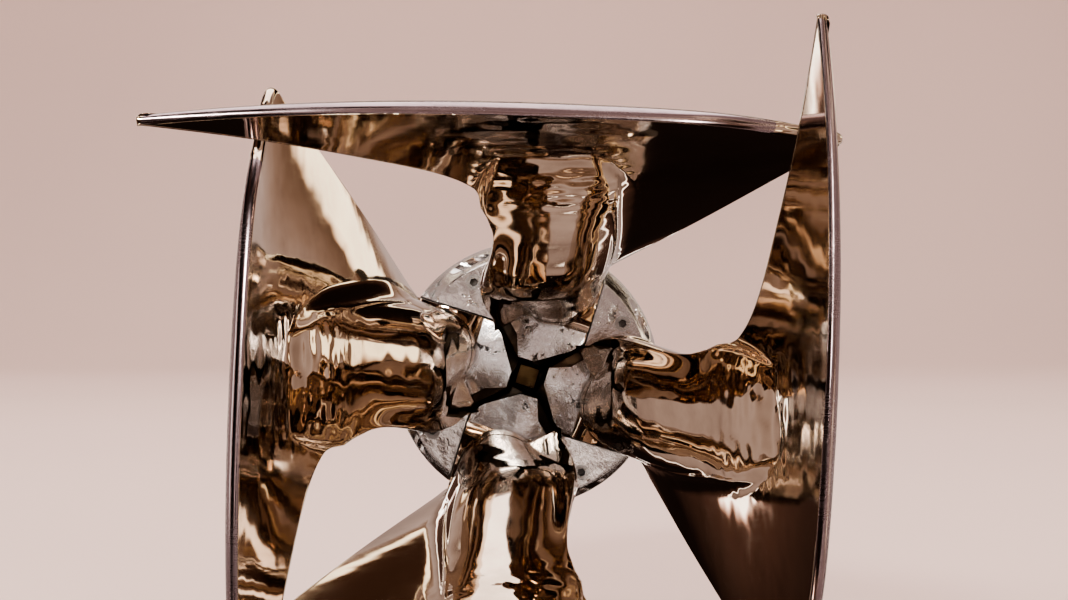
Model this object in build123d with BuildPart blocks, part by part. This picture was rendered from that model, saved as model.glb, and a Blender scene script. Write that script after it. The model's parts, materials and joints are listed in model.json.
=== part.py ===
"""Four-blade folding boat propeller, right handed, with blades geared together at the hub.

Units are millimetres. The shaft axis is the row's Y axis. The hub's front face, which meets the
drive leg, is at Y = 0, and the blades fold back towards -Y. Parts are drawn in the shaft frame,
where z runs aft along the shaft, and each blade in its own frame: x along the span from its
pivot pin, y round the hub and z aft when the blade is open.
"""

from build123d import *

import os
from math import atan2, cos, degrees, pi, radians, sin, sqrt, tan

# ---------------------------------------------------------------- driving sizes
BLADES = 4
CLOCKING = -17.0  # turn of the first blade from the row's X axis, degrees
FOLD_AT_REST = 80.0  # 0 is fully open, 90 is in line with the shaft, degrees

PROPELLER_DIAMETER = 470.0
PIVOT_RADIUS = 30.0  # shaft axis to pivot pin axis
HUB_RIM = 15.0  # hub radius past the pin axis
FIT = 0.03  # radial clearance of parts that are screwed or slid together and stay put
ROUND_OVER = 0.8  # small chamfers on machined edges

# splined sleeve that takes the drive shaft
SLEEVE_WALL = 3.0  # round the pilot bore
SLEEVE_FLANGE_RIM = 9.5  # flange radius past the sleeve's
SLEEVE_FLANGE = 4.0
PILOT_RADIUS = 14.5
PILOT_LENGTH = 10.0
SPLINE_LENGTH = 36.0
SPLINE_TIP_RADIUS = 11.6
SPLINE_ROOT_RADIUS = 13.2
SPLINE_TEETH = 17
SLEEVE_SCREWS = 4
SLEEVE_SCREW_RADIUS = 1.5
SLEEVE_SCREW_SOCKET = 1.1
SLEEVE_SCREW_SOCKET_DEPTH = 1.2
SLEEVE_SCREW_HEAD_RADIUS = 2.9
SLEEVE_SCREW_LENGTH = 10.0

# washer and nut that hold the hub on the shaft, and the screw that stops the nut
WASHER = 2.0
WASHER_CLEARANCE = 0.6
WASHER_BORE_RADIUS = 9.4
NUT_FLATS = 32.0
NUT_HEIGHT = 13.0
NUT_CAP = 2.5  # closed end of the nut, which keeps water off the thread
NUT_BORE_RADIUS = 9.0
NUT_CORNER_CLEARANCE = 2.5
NUT_TOP_CLEARANCE = 2.0
NUT_SCREW_RADIUS = 3.0
NUT_SCREW_LENGTH = 12.0

# pivot pins and what locks them
PIN_RADIUS = 5.0
PIN_RIM_COVER = 3.0  # hub metal round the outer end of a pin
PIN_CLEARANCE = 0.05
BUSH_WALL = 2.0
LOCK_SCREW_RADIUS = 2.5
LOCK_SCREW_LENGTH = 11.0
LOCK_SCREW_SOCKET = 1.4
LOCK_SCREW_SOCKET_DEPTH = 2.5
LOCK_SCREW_LAP = 2.1  # how far the screw stands in front of the pin's end
LOCK_SCREW_WALL = 1.5  # metal between a screw and the next pin's blind end

# blade root
KNUCKLE_RADIUS = 14.0
KNUCKLE_WIDTH = 29.0
SIDE_CLEARANCE = 0.5
GEAR_TEETH = 20
GEAR_ADDENDUM = 0.075  # shares of the pitch radius, so that teeth taper to the cone's point
GEAR_DEDENDUM = 0.105
GEAR_TOOTH_SHARE = 0.44  # tooth thickness over tooth pitch, at the pitch line
GEAR_FLANK = 22.0  # pressure angle, degrees
GEAR_NOSE = 3.2  # flat left at the shaft axis, which makes the square hole between blades
SECTOR_START = -14.0  # degrees round the pin from the shaft side
SECTOR_END_FACE = 7.0  # how far the sector's end face stands past the pin, along the span

# hub
HUB_FLOOR_CLEARANCE = 1.6
SECTOR_CLEARANCE = 2.0
POST_TOP = 9.0  # above the pin axis
POST_TAPER = 5.5  # how much less than the hub's radius the posts end with
DOME_START = 20.0  # below the pin axis

# sacrificial anode in three segments round the front of the hub
ANODE_SEGMENTS = 3
ANODE_GROOVE = 9.0
ANODE_THICKNESS = 7.5
ANODE_LENGTH = 20.0
ANODE_START = 6.0
ANODE_GAP = 2.0  # degrees between segments
ANODE_END_CLEARANCE = 0.2
ANODE_SCREW_RADIUS = 2.5
ANODE_SCREW_HEAD_RADIUS = 4.6
ANODE_SCREW_HEAD = 3.0
ANODE_SCREW_LENGTH = 12.0

# rubber buffers that take the open blades
BUFFER_WIDTH = 18.0
BUFFER_DEPTH = 6.0
BUFFER_THICKNESS = 5.0
BUFFER_SEAT = 1.2
BUFFER_CORNER = 1.5
BUFFER_GAP = 0.4

# ---------------------------------------------------------------- sizes worked out
TIP_RADIUS = PROPELLER_DIAMETER / 2
SPAN = TIP_RADIUS - PIVOT_RADIUS
SLOT_WIDTH = KNUCKLE_WIDTH + 2 * SIDE_CLEARANCE
BUSH_RADIUS = PIN_RADIUS + PIN_CLEARANCE + BUSH_WALL
HUB_RADIUS = PIVOT_RADIUS + HUB_RIM
POST_TOP_RADIUS = HUB_RADIUS - POST_TAPER
STEM_ROOT_DEPTH = KNUCKLE_RADIUS - 1  # half depth of the stem beside the pin
SLEEVE_RADIUS = PILOT_RADIUS + SLEEVE_WALL
SLEEVE_FLANGE_RADIUS = SLEEVE_RADIUS + SLEEVE_FLANGE_RIM
SLEEVE_SCREW_CIRCLE = (SLEEVE_RADIUS + SLEEVE_FLANGE_RADIUS) / 2
NUT_POCKET_RADIUS = NUT_FLATS / sqrt(3) + NUT_CORNER_CLEARANCE
WASHER_RADIUS = NUT_POCKET_RADIUS - WASHER_CLEARANCE
PIN_OUTER_END = sqrt((HUB_RADIUS - PIN_RIM_COVER) ** 2 - (PIVOT_RADIUS + PIN_RADIUS) ** 2)
ANODE_INNER_RADIUS = HUB_RADIUS - ANODE_GROOVE
ANODE_OUTER_RADIUS = ANODE_INNER_RADIUS + ANODE_THICKNESS
GEAR_NOSE_RADIUS = PIVOT_RADIUS - GEAR_NOSE
SLEEVE_LENGTH = PILOT_LENGTH + SPLINE_LENGTH
WASHER_TOP = SLEEVE_LENGTH + WASHER
NUT_TOP = WASHER_TOP + NUT_HEIGHT
HUB_FLOOR = NUT_TOP + NUT_TOP_CLEARANCE
PIN_HEIGHT = HUB_FLOOR + HUB_FLOOR_CLEARANCE + GEAR_NOSE_RADIUS
HUB_LENGTH = PIN_HEIGHT + POST_TOP
POCKET_REACH = GEAR_NOSE_RADIUS * sin(radians(10)) + SECTOR_CLEARANCE  # past the pin
BUFFER_TOP = -STEM_ROOT_DEPTH - BUFFER_GAP  # heights from the pin axis
BUFFER_BASE = BUFFER_TOP - BUFFER_THICKNESS
BUFFER_START = POCKET_REACH + ROUND_OVER
LOCK_SCREW_X = -PIN_RADIUS + LOCK_SCREW_LAP - LOCK_SCREW_RADIUS  # in the blade station's frame
LOCK_SCREW_Y = PIN_OUTER_END + 0.2 + LOCK_SCREW_RADIUS
PIN_BLIND_END = PIVOT_RADIUS + LOCK_SCREW_X - LOCK_SCREW_RADIUS - LOCK_SCREW_WALL
NUT_SCREW_HEIGHT = WASHER_TOP + NUT_HEIGHT / 2
SPLINE_PITCH = 360 / SPLINE_TEETH

SHAFT = Plane(origin=(0, 0, 0), x_dir=(1, 0, 0), z_dir=(0, -1, 0))


def at_height(height):
    """The plane across the shaft at a height aft of the hub's front face."""
    return SHAFT.offset(height)


def radial(angle, height, start):
    """A plane that faces out from the shaft, at an angle round it, a height and a starting radius."""
    outward = SHAFT.from_local_coords(Vector(1, 0, 0).rotate(Axis.Z, angle))
    return Plane(origin=outward * start + SHAFT.z_dir * height, x_dir=SHAFT.z_dir, z_dir=outward)


def station(number, fold=0.0):
    """The frame of a blade: at its pin, x along the span and, while it is open, z aft."""
    angle = CLOCKING + number * 360 / BLADES
    outward = SHAFT.from_local_coords(Vector(1, 0, 0).rotate(Axis.Z, angle))
    aft = SHAFT.z_dir
    span = outward * cos(radians(fold)) + aft * sin(radians(fold))
    face = aft * cos(radians(fold)) - outward * sin(radians(fold))
    return Plane(origin=outward * PIVOT_RADIUS + aft * PIN_HEIGHT, x_dir=span, z_dir=face)


def pin_section(number, along):
    """The plane across a blade's pin, at a distance from the blade's middle plane."""
    blade = station(number)
    return Plane(origin=blade.from_local_coords((0, along, 0)), x_dir=blade.x_dir, z_dir=blade.y_dir)


def save(piece, name):
    piece.part.label = name
    export_step(piece.part, os.path.join("parts", name + ".step"))


os.makedirs("parts", exist_ok=True)

# ---------------------------------------------------------------- blade: the plate
# Share of the span, how far the plate stands aft of the pin, its thickness and its hollow, and
# how far the slice reaches to the leading and the trailing side.
PLATE_STATIONS = (
    (0.05, 0.5, 9.0, 0.0, 34.0, 38.0),
    (0.245, -2.3, 7.5, 0.3, 46.0, 52.0),
    (0.44, -6.0, 6.0, 1.4, 60.0, 80.0),
    (0.625, -9.3, 5.0, 3.0, 68.0, 118.0),
    (0.76, -10.3, 4.8, 3.8, 68.0, 118.0),
    (0.97, -8.0, 4.2, 3.8, 68.0, 118.0),
)
EDGE_THICKNESS = 2.0
PITCH_AT_ROOT = 280.0  # advance in one turn
PITCH_AT_TIP = 450.0
MID_CHORD = 25.0
HALF_CHORD = 96.0


def pitch_slope(span):
    """Tangent of the blade's angle at a span from the pin."""
    pitch = PITCH_AT_ROOT + (PITCH_AT_TIP - PITCH_AT_ROOT) * span / SPAN
    return pitch / (2 * pi * (PIVOT_RADIUS + span))


def plate_faces(y, span, rake, thickness, hollow):
    """Heights of the plate's forward and aft faces at a distance y from the blade's middle plane."""
    inboard = 1 - ((y - MID_CHORD) / HALF_CHORD) ** 2
    middle = rake + y * pitch_slope(span) - hollow * inboard
    half = (EDGE_THICKNESS + (thickness - EDGE_THICKNESS) * inboard) / 2
    half *= sqrt(1 + pitch_slope(span) ** 2)
    return middle - half, middle + half


def plate_section(share, rake, thickness, hollow, leading, trailing):
    """A closed slice of the plate across the span, wider than the blade."""
    span = share * SPAN
    steps = [-leading + (leading + trailing) * i / 4 for i in range(5)]
    faces = [plate_faces(y, span, rake, thickness, hollow) for y in steps]
    with BuildSketch(Plane(origin=(span, 0, 0), x_dir=(0, 1, 0), z_dir=(1, 0, 0))) as section:
        with BuildLine():
            forward = Spline([(y, f[0]) for y, f in zip(steps, faces)])
            aft = Spline([(y, f[1]) for y, f in zip(steps, faces)])
            Line(forward @ 0, aft @ 0)
            Line(forward @ 1, aft @ 1)
        make_face()
    return section.sketch


def on_tip_circle(y):
    """A point of the tip's circle about the shaft, in the blade's frame."""
    return (sqrt(TIP_RADIUS**2 - y**2) - PIVOT_RADIUS, y)


# Outline of the plate, as shares of the span and distances from the middle plane.
LEADING_EDGE = ((0.073, -15.0), (0.38, -38.0), (0.70, -56.5))
CORNER_HEADING = (1, 1.1)  # directions of the outline where the leading corner ends and at the tip point
POINT_HEADING = (-0.2, 1)
LEADING_CORNER = ((0.70, -56.5), (0.74, -51.0), (0.772, -39.0))
TIP_EDGE = ((0.772, -39.0), (0.845, -3.0), (0.885, 45.0))
POINT_Y = 107.0  # the trailing edge's point, on the tip circle
TRAILING_EDGE = ((0.80, 83.0), (0.71, 57.0), (0.62, 35.0), (0.52, 25.0), (0.26, 22.0), (0.073, 14.0))


def spread(points):
    """Outline points with the share of the span turned into a distance."""
    return [(share * SPAN, y) for share, y in points]


with BuildPart() as blade_plate:
    for row in PLATE_STATIONS:
        add(plate_section(*row))
    loft()
    with BuildSketch() as outline:
        with BuildLine():
            leading_edge = ThreePointArc(*spread(LEADING_EDGE))
            Spline(spread(LEADING_CORNER), tangents=[leading_edge % 1, CORNER_HEADING])
            Spline(spread(TIP_EDGE) + [on_tip_circle(POINT_Y)], tangents=[CORNER_HEADING, POINT_HEADING])
            trailing_edge = Spline([on_tip_circle(POINT_Y), *spread(TRAILING_EDGE)])
            Line(trailing_edge @ 1, leading_edge @ 0)
        make_face()
    extrude(amount=TIP_RADIUS, both=True, mode=Mode.INTERSECT)

# ---------------------------------------------------------------- blade: the stem
# Share of the span, middle across and aft of the plate's own middle, half width and half depth.
STEM_STATIONS = (
    (0.03, 0.0, 0.0, 13.5, STEM_ROOT_DEPTH),
    (0.08, 0.3, 0.5, 14.0, STEM_ROOT_DEPTH),
    (0.16, 2.0, 1.0, 17.0, 11.5),
    (0.27, 4.0, 3.5, 19.0, 10.0),
    (0.40, 6.0, 3.5, 19.0, 8.0),
    (0.52, 9.0, 2.0, 18.5, 6.5),
    (0.62, 12.0, 0.5, 17.5, 4.5),
    (0.70, 15.0, 0.0, 13.0, 1.0),
)


def plate_middle(y, span):
    """Height of the plate's middle surface, between the stations that it is lofted through."""
    for before, after in zip(PLATE_STATIONS, PLATE_STATIONS[1:]):
        if span <= after[0] * SPAN:
            part = max(0.0, (span / SPAN - before[0]) / (after[0] - before[0]))
            rake, thickness, hollow = [a + (b - a) * part for a, b in zip(before[1:4], after[1:4])]
            return sum(plate_faces(y, span, rake, thickness, hollow)) / 2
    raise ValueError("past the tip")


with BuildPart() as blade_stem:
    for share, across, proud, half_width, half_depth in STEM_STATIONS:
        span = share * SPAN
        twist = degrees(atan2(pitch_slope(span), 1)) * min(1, 4 * share)
        base = plate_middle(across, span) if share > 0.1 else 0.0
        with BuildSketch(Plane(origin=(span, 0, 0), x_dir=(0, 1, 0), z_dir=(1, 0, 0))):
            with Locations((across, base + proud)):
                Ellipse(half_width, half_depth, rotation=twist)
    loft()

# ---------------------------------------------------------------- blade: the geared root
TOOTH_PITCH = 360 / GEAR_TEETH
TOOTH_ROOTING = 1.6  # dedendums from the pitch line to where a tooth starts, inside the root cone


def tooth_profile(scale):
    """Corners of one tooth across the pin, pointing at the shaft, for a slice of the bevel at a scale."""
    radius = PIVOT_RADIUS * scale
    half = radius * radians(TOOTH_PITCH) * GEAR_TOOTH_SHARE / 2
    rise = radius * GEAR_ADDENDUM
    fall = radius * GEAR_DEDENDUM * TOOTH_ROOTING
    lean = tan(radians(GEAR_FLANK))
    return [
        (radius - fall, half + fall * lean),
        (radius + rise, half - rise * lean),
        (radius + rise, -half + rise * lean),
        (radius - fall, -half - fall * lean),
    ]


def bevel_half(side, phase):
    """One side of the geared sector: a root cone with teeth, ending in the cone's point beyond the knuckle."""
    far = KNUCKLE_WIDTH / 2
    with BuildPart() as half:
        with BuildSketch(Plane.XY) as root_cone:
            with BuildLine():
                wide = PIVOT_RADIUS * (1 - GEAR_DEDENDUM)
                narrow = (PIVOT_RADIUS - far) * (1 - GEAR_DEDENDUM)
                Polyline((0, 0), (wide, 0), (narrow, side * far), (0, side * far), close=True)
            make_face()
        revolve(axis=Axis.Y)
        count = int((90 - SECTOR_START) / TOOTH_PITCH) + 3
        for number in range(count):
            angle = SECTOR_START - TOOTH_PITCH / 2 + phase + number * TOOTH_PITCH
            # the tooth's own plane contains the pin's direction and points from the pin at the mesh
            out = Vector(-cos(radians(angle)), 0, sin(radians(angle)))
            for scale, along in ((1, 0), (1 - far / PIVOT_RADIUS, side * far)):
                face = Plane(origin=(0, along, 0), x_dir=out, z_dir=(0, 1, 0))
                with BuildSketch(face):
                    with BuildLine():
                        Polyline(*tooth_profile(scale), close=True)
                    make_face()
            loft(ruled=True)
    return half.part


with BuildPart() as blade_root:
    # sector: both bevels, cut to the nose radius and to the arc that meets the neighbours
    add(bevel_half(1, 0))
    add(bevel_half(-1, TOOTH_PITCH / 2))
    with BuildSketch(Plane.XZ.offset(-KNUCKLE_WIDTH / 2)) as sector:
        with BuildLine():
            start = Vector(-cos(radians(SECTOR_START)), sin(radians(SECTOR_START)))
            reach = GEAR_NOSE_RADIUS
            rise = sqrt(reach**2 - SECTOR_END_FACE**2)
            arc_end = (SECTOR_END_FACE, rise)
            arc_start = (start.X * reach, start.Y * reach)
            middle = Vector(-cos(radians(45)), sin(radians(45))) * reach
            ThreePointArc(arc_start, (middle.X, middle.Y), arc_end)
            Polyline(arc_end, (SECTOR_END_FACE, 0), (0, 0), arc_start)
        make_face()
    extrude(amount=KNUCKLE_WIDTH, mode=Mode.INTERSECT)
    with BuildSketch(Plane.XZ.offset(-KNUCKLE_WIDTH / 2)):
        Circle(KNUCKLE_RADIUS)
    extrude(amount=KNUCKLE_WIDTH)

with BuildPart() as blade_form:
    add(blade_plate.part)
    add(blade_stem.part)
    add(blade_root.part)
    with BuildSketch(Plane.XZ.offset(-KNUCKLE_WIDTH)):
        Circle(BUSH_RADIUS)
    extrude(amount=2 * KNUCKLE_WIDTH, mode=Mode.SUBTRACT)

for number in range(BLADES):
    folded = station(number, FOLD_AT_REST)
    with BuildPart() as blade:
        with Locations(folded.location):
            add(blade_form.part)
    save(blade, f"blade_{number + 1}")

    # the bush is pressed into the blade and turns with it
    with BuildPart() as blade_bush:
        with BuildSketch(pin_section(number, -KNUCKLE_WIDTH / 2)):
            Circle(BUSH_RADIUS)
            Circle(PIN_RADIUS + PIN_CLEARANCE, mode=Mode.SUBTRACT)
        extrude(amount=KNUCKLE_WIDTH)
    save(blade_bush, f"blade_bush_{number + 1}")

    with BuildPart() as pivot_pin:
        with BuildSketch(pin_section(number, -PIN_BLIND_END)):
            Circle(PIN_RADIUS)
        extrude(amount=PIN_BLIND_END + PIN_OUTER_END)
        chamfer(pivot_pin.edges().filter_by(GeomType.CIRCLE), ROUND_OVER)
    save(pivot_pin, f"pivot_pin_{number + 1}")

    # the lock screw goes in beside the post's edge and stands in front of the pin's end
    with BuildPart() as pin_lock_screw:
        with BuildSketch(station(number).offset(POST_TOP - LOCK_SCREW_LENGTH)):
            with Locations((LOCK_SCREW_X, LOCK_SCREW_Y)):
                Circle(LOCK_SCREW_RADIUS)
        extrude(amount=LOCK_SCREW_LENGTH)
        with BuildSketch(station(number).offset(POST_TOP - LOCK_SCREW_SOCKET_DEPTH)):
            with Locations((LOCK_SCREW_X, LOCK_SCREW_Y)):
                RegularPolygon(LOCK_SCREW_SOCKET, 6)
        extrude(amount=LOCK_SCREW_SOCKET_DEPTH, mode=Mode.SUBTRACT)
    save(pin_lock_screw, f"pin_lock_screw_{number + 1}")

    with BuildPart() as stop_buffer:
        with BuildSketch(station(number).offset(BUFFER_BASE)):
            with Locations((BUFFER_START + BUFFER_DEPTH / 2, 0)):
                RectangleRounded(BUFFER_DEPTH, BUFFER_WIDTH, BUFFER_CORNER)
        extrude(amount=BUFFER_THICKNESS)
        chamfer(stop_buffer.faces().sort_by(Axis.Y)[0].edges(), ROUND_OVER)
    save(stop_buffer, f"stop_buffer_{number + 1}")

# ---------------------------------------------------------------- hub
with BuildPart() as hub_body:
    with BuildSketch(Plane.XY):
        with BuildLine():
            shoulder = (HUB_RADIUS, DOME_START - PIN_HEIGHT)
            crown_edge = (POST_TOP_RADIUS, -HUB_LENGTH)
            Polyline((0, 0), (HUB_RADIUS - ROUND_OVER, 0), (HUB_RADIUS, -ROUND_OVER), shoulder)
            TangentArc(shoulder, crown_edge, tangent=(0, -1))
            Polyline(crown_edge, (0, -HUB_LENGTH), (0, 0))
        make_face()
    revolve(axis=Axis.Y)

    # groove for the anode
    with BuildSketch(at_height(ANODE_START)):
        Circle(HUB_RADIUS + 1)
        Circle(ANODE_INNER_RADIUS, mode=Mode.SUBTRACT)
    extrude(amount=ANODE_LENGTH, mode=Mode.SUBTRACT)

    # bore for the sleeve and its flange, and the nut's pocket above it
    for radius, start, end in (
        (SLEEVE_FLANGE_RADIUS + FIT, 0, SLEEVE_FLANGE),
        (SLEEVE_RADIUS + FIT, 0, SLEEVE_LENGTH),
        (NUT_POCKET_RADIUS, SLEEVE_LENGTH, HUB_FLOOR),
    ):
        with BuildSketch(at_height(start)):
            Circle(radius)
        extrude(amount=end - start, mode=Mode.SUBTRACT)
    with BuildSketch(at_height(SLEEVE_FLANGE)):
        with PolarLocations(SLEEVE_SCREW_CIRCLE, SLEEVE_SCREWS, start_angle=CLOCKING):
            Circle(SLEEVE_SCREW_RADIUS + FIT)
    extrude(amount=SLEEVE_SCREW_LENGTH - SLEEVE_FLANGE + 1, mode=Mode.SUBTRACT)

    for number in range(BLADES):
        blade_frame = station(number)
        # the pocket that the geared root turns in, out to just past the pin
        with BuildSketch(blade_frame.offset(HUB_FLOOR - PIN_HEIGHT)):
            with Locations(((POCKET_REACH - PIVOT_RADIUS) / 2, 0)):
                Rectangle(PIVOT_RADIUS + POCKET_REACH, SLOT_WIDTH)
        extrude(amount=HUB_LENGTH, mode=Mode.SUBTRACT)
        # the open slot through the rim, and the buffer's seat in its floor
        with BuildSketch(blade_frame.offset(BUFFER_BASE + BUFFER_SEAT)):
            with Locations((HUB_RADIUS / 2, 0)):
                Rectangle(HUB_RADIUS, SLOT_WIDTH)
        extrude(amount=HUB_LENGTH, mode=Mode.SUBTRACT)
        with BuildSketch(blade_frame.offset(BUFFER_BASE)):
            with Locations((BUFFER_START + BUFFER_DEPTH / 2, 0)):
                RectangleRounded(BUFFER_DEPTH + 2 * FIT, BUFFER_WIDTH + 2 * FIT, BUFFER_CORNER)
        extrude(amount=BUFFER_SEAT, mode=Mode.SUBTRACT)
        # the pin's hole is blind at one end and comes out through the rim at the other
        with BuildSketch(pin_section(number, -PIN_BLIND_END - FIT)):
            Circle(PIN_RADIUS + FIT)
        extrude(amount=PIN_BLIND_END + HUB_RADIUS, mode=Mode.SUBTRACT)
        with BuildSketch(blade_frame.offset(POST_TOP - LOCK_SCREW_LENGTH - FIT)):
            with Locations((LOCK_SCREW_X, LOCK_SCREW_Y)):
                Circle(LOCK_SCREW_RADIUS + FIT)
        extrude(amount=LOCK_SCREW_LENGTH + 1, mode=Mode.SUBTRACT)

    # screw holes for the anode segments and for the nut's lock
    for number in range(ANODE_SEGMENTS):
        angle = CLOCKING + number * 360 / ANODE_SEGMENTS
        with BuildSketch(radial(angle, ANODE_START + ANODE_LENGTH / 2, ANODE_OUTER_RADIUS)):
            Circle(ANODE_SCREW_RADIUS + FIT)
        extrude(amount=-ANODE_SCREW_LENGTH - FIT, mode=Mode.SUBTRACT)
    with BuildSketch(radial(CLOCKING + 180 / BLADES, NUT_SCREW_HEIGHT, NUT_FLATS / 2)):
        Circle(NUT_SCREW_RADIUS + FIT)
    extrude(amount=HUB_RADIUS, mode=Mode.SUBTRACT)
save(hub_body, "hub_body")

# ---------------------------------------------------------------- shaft drive
with BuildPart() as drive_sleeve:
    with BuildSketch(at_height(0)):
        Circle(SLEEVE_FLANGE_RADIUS)
    extrude(amount=SLEEVE_FLANGE)
    with BuildSketch(at_height(0)):
        Circle(SLEEVE_RADIUS)
    extrude(amount=SLEEVE_LENGTH)
    with BuildSketch(at_height(0)):
        Circle(PILOT_RADIUS)
    extrude(amount=PILOT_LENGTH, mode=Mode.SUBTRACT)
    with BuildSketch(at_height(PILOT_LENGTH)):
        Circle(SPLINE_TIP_RADIUS)
        with PolarLocations(0, SPLINE_TEETH, start_angle=CLOCKING):
            with BuildLine():
                # one groove between two splines, narrower at its root
                mouth = SPLINE_TIP_RADIUS * radians(SPLINE_PITCH) * 0.3
                root = SPLINE_ROOT_RADIUS * radians(SPLINE_PITCH) * 0.2
                Polyline(
                    (SPLINE_TIP_RADIUS - 1, -mouth),
                    (SPLINE_ROOT_RADIUS, -root),
                    (SPLINE_ROOT_RADIUS, root),
                    (SPLINE_TIP_RADIUS - 1, mouth),
                    close=True,
                )
            make_face()
    extrude(amount=SPLINE_LENGTH, mode=Mode.SUBTRACT)
    with BuildSketch(at_height(0)):
        with PolarLocations(SLEEVE_SCREW_CIRCLE, SLEEVE_SCREWS, start_angle=CLOCKING):
            Circle(SLEEVE_SCREW_HEAD_RADIUS + FIT)
    extrude(
        amount=SLEEVE_SCREW_HEAD_RADIUS - SLEEVE_SCREW_RADIUS,
        taper=45,
        mode=Mode.SUBTRACT,
    )
    with BuildSketch(at_height(0)):
        with PolarLocations(SLEEVE_SCREW_CIRCLE, SLEEVE_SCREWS, start_angle=CLOCKING):
            Circle(SLEEVE_SCREW_RADIUS + FIT)
    extrude(amount=SLEEVE_FLANGE, mode=Mode.SUBTRACT)
save(drive_sleeve, "drive_sleeve")

with BuildPart() as sleeve_screws:
    with BuildSketch(at_height(0)):
        with PolarLocations(SLEEVE_SCREW_CIRCLE, SLEEVE_SCREWS, start_angle=CLOCKING):
            Circle(SLEEVE_SCREW_HEAD_RADIUS)
    extrude(amount=SLEEVE_SCREW_HEAD_RADIUS - SLEEVE_SCREW_RADIUS, taper=45)
    with BuildSketch(at_height(0)):
        with PolarLocations(SLEEVE_SCREW_CIRCLE, SLEEVE_SCREWS, start_angle=CLOCKING):
            Circle(SLEEVE_SCREW_RADIUS)
    extrude(amount=SLEEVE_SCREW_LENGTH)
    with BuildSketch(at_height(0)):
        with PolarLocations(SLEEVE_SCREW_CIRCLE, SLEEVE_SCREWS, start_angle=CLOCKING):
            RegularPolygon(SLEEVE_SCREW_SOCKET, 6)
    extrude(amount=SLEEVE_SCREW_SOCKET_DEPTH, mode=Mode.SUBTRACT)
save(sleeve_screws, "sleeve_screws")

with BuildPart() as thrust_washer:
    with BuildSketch(at_height(SLEEVE_LENGTH)):
        Circle(WASHER_RADIUS)
        Circle(WASHER_BORE_RADIUS, mode=Mode.SUBTRACT)
    extrude(amount=WASHER)
save(thrust_washer, "thrust_washer")

with BuildPart() as shaft_nut:
    with BuildSketch(at_height(WASHER_TOP)):
        corner_turn = CLOCKING + 180 / BLADES + 30
        RegularPolygon(NUT_FLATS / 2, 6, major_radius=False, rotation=corner_turn)
    extrude(amount=NUT_HEIGHT)
    with BuildSketch(at_height(WASHER_TOP)):
        Circle(NUT_BORE_RADIUS)
    extrude(amount=NUT_HEIGHT - NUT_CAP, mode=Mode.SUBTRACT)
save(shaft_nut, "shaft_nut")

with BuildPart() as nut_lock_screw:
    nut_screw_frame = radial(CLOCKING + 180 / BLADES, NUT_SCREW_HEIGHT, NUT_FLATS / 2)
    with BuildSketch(nut_screw_frame):
        Circle(NUT_SCREW_RADIUS)
    extrude(amount=NUT_SCREW_LENGTH)
    with BuildSketch(nut_screw_frame.offset(NUT_SCREW_LENGTH - NUT_SCREW_RADIUS)):
        RegularPolygon(NUT_SCREW_RADIUS / 2, 6)
    extrude(amount=NUT_SCREW_RADIUS, mode=Mode.SUBTRACT)
save(nut_lock_screw, "nut_lock_screw")

# ---------------------------------------------------------------- anode
ANODE_MIDDLE = ANODE_START + ANODE_LENGTH / 2

for number in range(ANODE_SEGMENTS):
    middle_angle = CLOCKING + number * 360 / ANODE_SEGMENTS
    sweep_angle = 360 / ANODE_SEGMENTS - ANODE_GAP
    with BuildPart() as anode:
        with BuildSketch(at_height(ANODE_START + ANODE_END_CLEARANCE)):
            with BuildLine():
                start_angle = middle_angle - sweep_angle / 2
                outside = CenterArc((0, 0), ANODE_OUTER_RADIUS, start_angle, sweep_angle)
                inside = CenterArc((0, 0), ANODE_INNER_RADIUS + FIT, start_angle, sweep_angle)
                Line(outside @ 0, inside @ 0)
                Line(outside @ 1, inside @ 1)
            make_face()
        extrude(amount=ANODE_LENGTH - 2 * ANODE_END_CLEARANCE)
        with BuildSketch(radial(middle_angle, ANODE_MIDDLE, HUB_RADIUS)):
            Circle(ANODE_SCREW_HEAD_RADIUS + FIT)
        extrude(amount=ANODE_OUTER_RADIUS - HUB_RADIUS - ANODE_SCREW_HEAD, mode=Mode.SUBTRACT)
        with BuildSketch(radial(middle_angle, ANODE_MIDDLE, HUB_RADIUS)):
            Circle(ANODE_SCREW_RADIUS + FIT)
        extrude(amount=-HUB_RADIUS / 2, mode=Mode.SUBTRACT)
    save(anode, f"anode_{number + 1}")

with BuildPart() as anode_screws:
    for number in range(ANODE_SEGMENTS):
        middle_angle = CLOCKING + number * 360 / ANODE_SEGMENTS
        head_top = radial(middle_angle, ANODE_MIDDLE, ANODE_OUTER_RADIUS)
        with BuildSketch(head_top):
            Circle(ANODE_SCREW_HEAD_RADIUS)
        extrude(amount=-ANODE_SCREW_HEAD)
        with BuildSketch(head_top):
            Circle(ANODE_SCREW_RADIUS)
        extrude(amount=-ANODE_SCREW_LENGTH)
        with BuildSketch(head_top):
            RegularPolygon(ANODE_SCREW_RADIUS, 6)
        extrude(amount=-ANODE_SCREW_HEAD / 2, mode=Mode.SUBTRACT)
save(anode_screws, "anode_screws")
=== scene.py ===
"""Finish and studio for a four-blade folding boat propeller, built round its fixed CAD frame.

The shaft runs along the row's Y axis, and the folded blades point towards -Y. The blades are
drawn in millimetres in a blade's own frame: x along the span from its pivot pin, y round the
hub and z towards the shaft while the blade is folded. Everything in the scene is in metres.
"""

import json
from math import cos, pi, radians, sin

import bmesh
import bpy
import numpy as np
from mathutils import Matrix, Vector

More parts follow.
